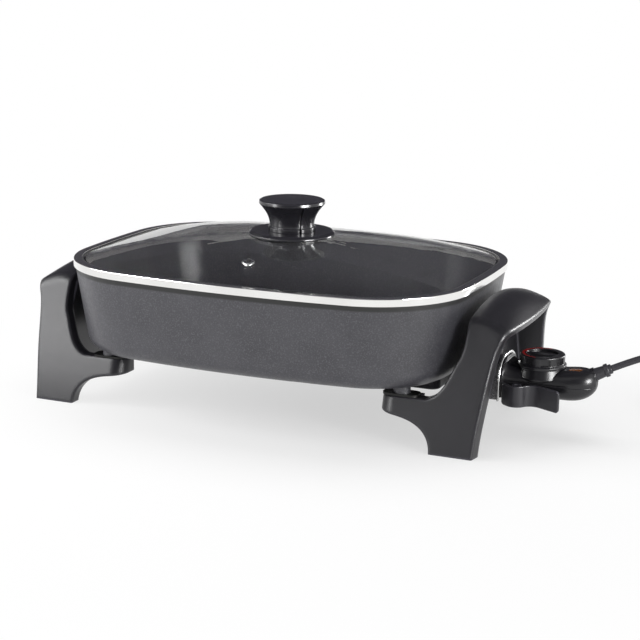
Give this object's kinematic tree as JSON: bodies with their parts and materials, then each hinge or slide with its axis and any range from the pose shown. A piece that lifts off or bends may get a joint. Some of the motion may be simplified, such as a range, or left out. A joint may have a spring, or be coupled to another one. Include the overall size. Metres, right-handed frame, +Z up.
{
  "type": "electric skillet",
  "caption": "Rectangular electric skillet on arched handle and leg units, with a domed glass lid with a knob, and a plug-in heat control with dial, lever and cord.",
  "frame": {"origin": "centre of the bounding box of the object without its cord, on the counter", "axes": "+X along the pan towards the heat control, +Y across the pan away from the release lever, +Z up"},
  "size_m": [0.7298, 0.4109, 0.1991],
  "materials": {
    "pan_coating": "speckled non-stick coating on cast aluminium",
    "polished_steel": "polished stainless steel",
    "steel": "plain sheet and bar steel",
    "lid_glass": "clear tempered glass",
    "silicone": "black silicone",
    "gloss_black": "gloss black phenolic",
    "satin_black": "satin black moulded plastic",
    "ceramic": "off-white ceramic bush",
    "switch_plastic": "natural phenolic switch body",
    "red_ink": "red dial marking",
    "amber": "amber lens",
    "cord_rubber": "black cord jacket",
    "brass": "nickel-plated brass"
  },
  "bodies": {
    "pan": {"pan": "pan_coating", "heating_element": "steel", "terminal_pins": "polished_steel", "left_handle": "satin_black", "right_handle": "satin_black", "mounting_plates": "steel", "leg_screws": "steel", "inlet_guard": "polished_steel", "guard_screws": "steel", "terminal_plate": "steel", "pin_insulators": "ceramic"},
    "lid": {"lid_ring": "polished_steel", "lid_glass": "lid_glass", "rim_seal": "silicone", "vent_grommet": "polished_steel", "knob_base": "gloss_black", "lid_knob": "gloss_black", "knob_screw": "steel", "knob_washer": "steel"},
    "control": {"control_upper_shell": "satin_black", "control_lower_shell": "satin_black", "indicator_lens": "amber", "sensor_rod": "polished_steel", "contact_sleeves": "brass", "thermostat_switch": "switch_plastic", "lever_pin": "steel", "lever_spring": "steel", "strain_relief": "silicone", "cord": "cord_rubber", "cord_coil": "cord_rubber", "cord_tie": "satin_black", "plug_body": "satin_black", "plug_pins": "brass", "plug_earth_clips": "steel"},
    "dial": {"temperature_dial": "gloss_black", "dial_ring": "red_ink", "dial_pointer": "red_ink", "dial_shaft": "steel"},
    "lever": {"release_lever": "satin_black"}
  },
  "joints": [
    {"name": "lid_lift", "type": "slide", "parent": "pan", "child": "lid", "axis": [0, 0, 1], "range_m": [0, 0.1]},
    {"name": "probe_unplug", "type": "slide", "parent": "pan", "child": "control", "axis": [1, 0, 0], "range_m": [0, 0.075]},
    {"name": "dial_turn", "type": "hinge", "parent": "control", "child": "dial", "pos_m": [0.21694, 0, 0.07], "axis": [0, 0, 1], "range_deg": [0, 290]},
    {"name": "release_lever", "type": "hinge", "parent": "control", "child": "lever", "pos_m": [0.20144, -0.0285, 0.04], "axis": [0, 0, 1], "range_deg": [0, 10], "stiffness_Nm_per_rad": 0.3, "springref_deg": -11.46}
  ]
}
